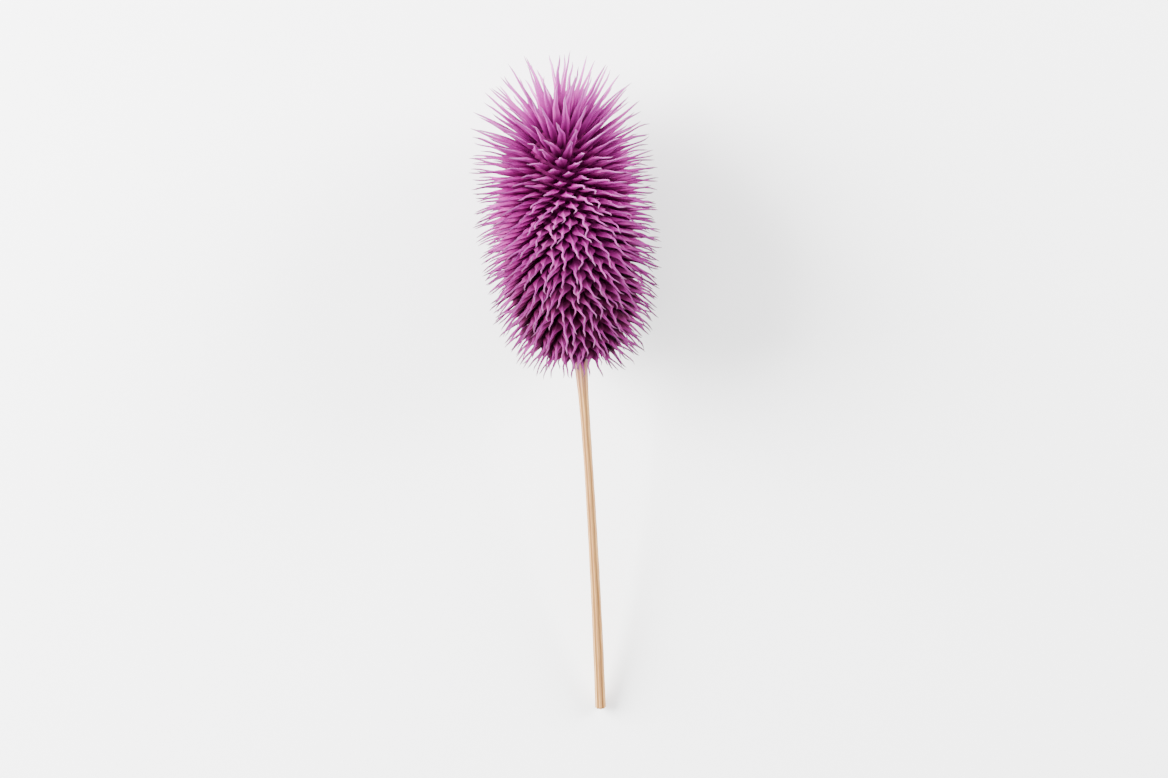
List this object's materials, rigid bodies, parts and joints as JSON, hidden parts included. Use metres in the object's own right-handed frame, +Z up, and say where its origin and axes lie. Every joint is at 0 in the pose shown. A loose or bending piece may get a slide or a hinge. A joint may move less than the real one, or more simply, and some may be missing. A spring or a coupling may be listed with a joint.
{
  "type": "teasel seed head",
  "caption": "Dried, dyed teasel head of stiff spiny bracts on a short ribbed straw-coloured stem with a cut end, lying on its side.",
  "frame": {"origin": "on the floor, under the middle of the whole object's box", "axes": "+Y toward the head's tip, -Y toward the stem's cut end, +Z up from the surface the head lies on"},
  "size_m": [0.0404, 0.1468, 0.0402],
  "materials": {
    "dyed_bract": "dry, matte dyed plant fibre, paler at the crown and along the spines",
    "straw_stem": "dry, ribbed straw, matte"
  },
  "bodies": {
    "root": {"seed_head": "dyed_bract", "stem": "straw_stem"}
  },
  "joints": []
}
